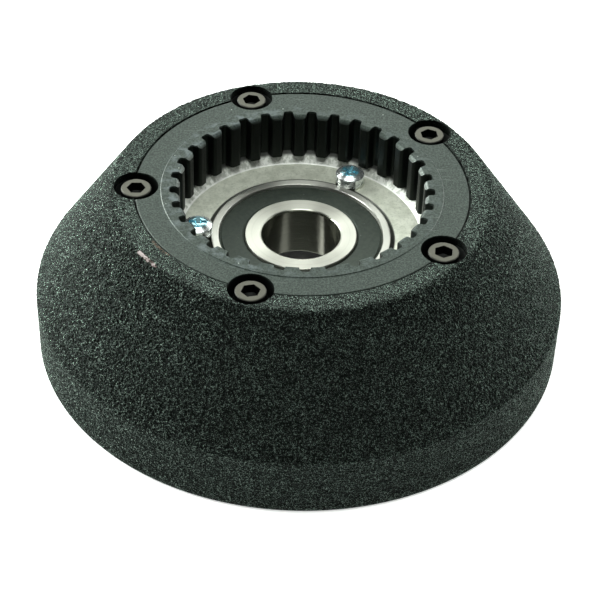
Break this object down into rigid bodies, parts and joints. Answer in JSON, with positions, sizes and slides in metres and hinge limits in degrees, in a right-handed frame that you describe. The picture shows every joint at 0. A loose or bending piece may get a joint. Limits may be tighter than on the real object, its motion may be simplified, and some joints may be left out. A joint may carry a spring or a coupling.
{
  "type": "conical friction drive wheel",
  "caption": "Cone-shaped wheel with a rough grip coating, an internally toothed drive socket in its narrow end and a sealed ball bearing in a metal hub.",
  "frame": {"origin": "centre of the resting face, on the spin axis", "axes": "+Z along the spin axis, from the wide skirt to the narrow toothed end"},
  "size_m": [0.1168, 0.1168, 0.039],
  "materials": {
    "grip_coat": "pebbled matt polyurethane",
    "core_nylon": "moulded, fine matt",
    "ring_acetal": "moulded, satin",
    "hub_aluminium": "die cast, turned seat",
    "bearing_steel": "ground",
    "ball_steel": "polished",
    "cage_steel": "pressed strip",
    "seal_rubber": "moulded matt",
    "black_screw": "black oxide",
    "zinc_screw": "bright zinc plated",
    "zinc_washer": "bright zinc plated"
  },
  "bodies": {
    "axle_ring": {"bearing_inner_ring": "bearing_steel"},
    "wheel": {"grip_coating": "grip_coat", "cone_core": "core_nylon", "toothed_ring": "ring_acetal", "bearing_hub": "hub_aluminium", "bearing_outer_ring": "bearing_steel", "upper_seal": "seal_rubber", "lower_seal": "seal_rubber", "upper_seal_washer": "cage_steel", "lower_seal_washer": "cage_steel", "key_screw_1": "black_screw", "key_screw_2": "black_screw", "key_screw_3": "black_screw", "key_screw_4": "black_screw", "key_screw_5": "black_screw", "clamp_screw_1": "zinc_screw", "clamp_screw_2": "zinc_screw", "clamp_screw_3": "zinc_screw", "spring_washer_1": "zinc_washer", "spring_washer_2": "zinc_washer", "spring_washer_3": "zinc_washer"},
    "ball_cage": {"cage_upper_half": "cage_steel", "cage_lower_half": "cage_steel", "cage_rivet_1": "cage_steel", "cage_rivet_2": "cage_steel", "cage_rivet_3": "cage_steel", "cage_rivet_4": "cage_steel", "cage_rivet_5": "cage_steel", "cage_rivet_6": "cage_steel", "cage_rivet_7": "cage_steel", "cage_rivet_8": "cage_steel"},
    "ball_1": {"bearing_ball_1": "ball_steel"},
    "ball_2": {"bearing_ball_2": "ball_steel"},
    "ball_3": {"bearing_ball_3": "ball_steel"},
    "ball_4": {"bearing_ball_4": "ball_steel"},
    "ball_5": {"bearing_ball_5": "ball_steel"},
    "ball_6": {"bearing_ball_6": "ball_steel"},
    "ball_7": {"bearing_ball_7": "ball_steel"},
    "ball_8": {"bearing_ball_8": "ball_steel"}
  },
  "joints": [
    {"name": "wheel_spin", "type": "hinge", "parent": "axle_ring", "child": "wheel", "pos_m": [0, 0, 0.0203], "axis": [0, 0, 1], "continuous": true},
    {"name": "cage_orbit", "type": "hinge", "parent": "axle_ring", "child": "ball_cage", "pos_m": [0, 0, 0.0203], "axis": [0, 0, 1], "continuous": true},
    {"name": "ball_1_roll", "type": "hinge", "parent": "ball_cage", "child": "ball_1", "pos_m": [0.01425, 0, 0.0203], "axis": [0, 0, 1], "continuous": true},
    {"name": "ball_2_roll", "type": "hinge", "parent": "ball_cage", "child": "ball_2", "pos_m": [0.01008, 0.01008, 0.0203], "axis": [0, 0, 1], "continuous": true},
    {"name": "ball_3_roll", "type": "hinge", "parent": "ball_cage", "child": "ball_3", "pos_m": [0, 0.01425, 0.0203], "axis": [0, 0, 1], "continuous": true},
    {"name": "ball_4_roll", "type": "hinge", "parent": "ball_cage", "child": "ball_4", "pos_m": [-0.01008, 0.01008, 0.0203], "axis": [0, 0, 1], "continuous": true},
    {"name": "ball_5_roll", "type": "hinge", "parent": "ball_cage", "child": "ball_5", "pos_m": [-0.01425, 0, 0.0203], "axis": [0, 0, 1], "continuous": true},
    {"name": "ball_6_roll", "type": "hinge", "parent": "ball_cage", "child": "ball_6", "pos_m": [-0.01008, -0.01008, 0.0203], "axis": [0, 0, 1], "continuous": true},
    {"name": "ball_7_roll", "type": "hinge", "parent": "ball_cage", "child": "ball_7", "pos_m": [0, -0.01425, 0.0203], "axis": [0, 0, 1], "continuous": true},
    {"name": "ball_8_roll", "type": "hinge", "parent": "ball_cage", "child": "ball_8", "pos_m": [0.01008, -0.01008, 0.0203], "axis": [0, 0, 1], "continuous": true}
  ],
  "couplings": [
    {"joint": "cage_orbit", "follows": "wheel_spin", "ratio": 0.61837},
    {"joint": "ball_1_roll", "follows": "wheel_spin", "ratio": 1.9937},
    {"joint": "ball_2_roll", "follows": "wheel_spin", "ratio": 1.9937},
    {"joint": "ball_3_roll", "follows": "wheel_spin", "ratio": 1.9937},
    {"joint": "ball_4_roll", "follows": "wheel_spin", "ratio": 1.9937},
    {"joint": "ball_5_roll", "follows": "wheel_spin", "ratio": 1.9937},
    {"joint": "ball_6_roll", "follows": "wheel_spin", "ratio": 1.9937},
    {"joint": "ball_7_roll", "follows": "wheel_spin", "ratio": 1.9937},
    {"joint": "ball_8_roll", "follows": "wheel_spin", "ratio": 1.9937}
  ]
}
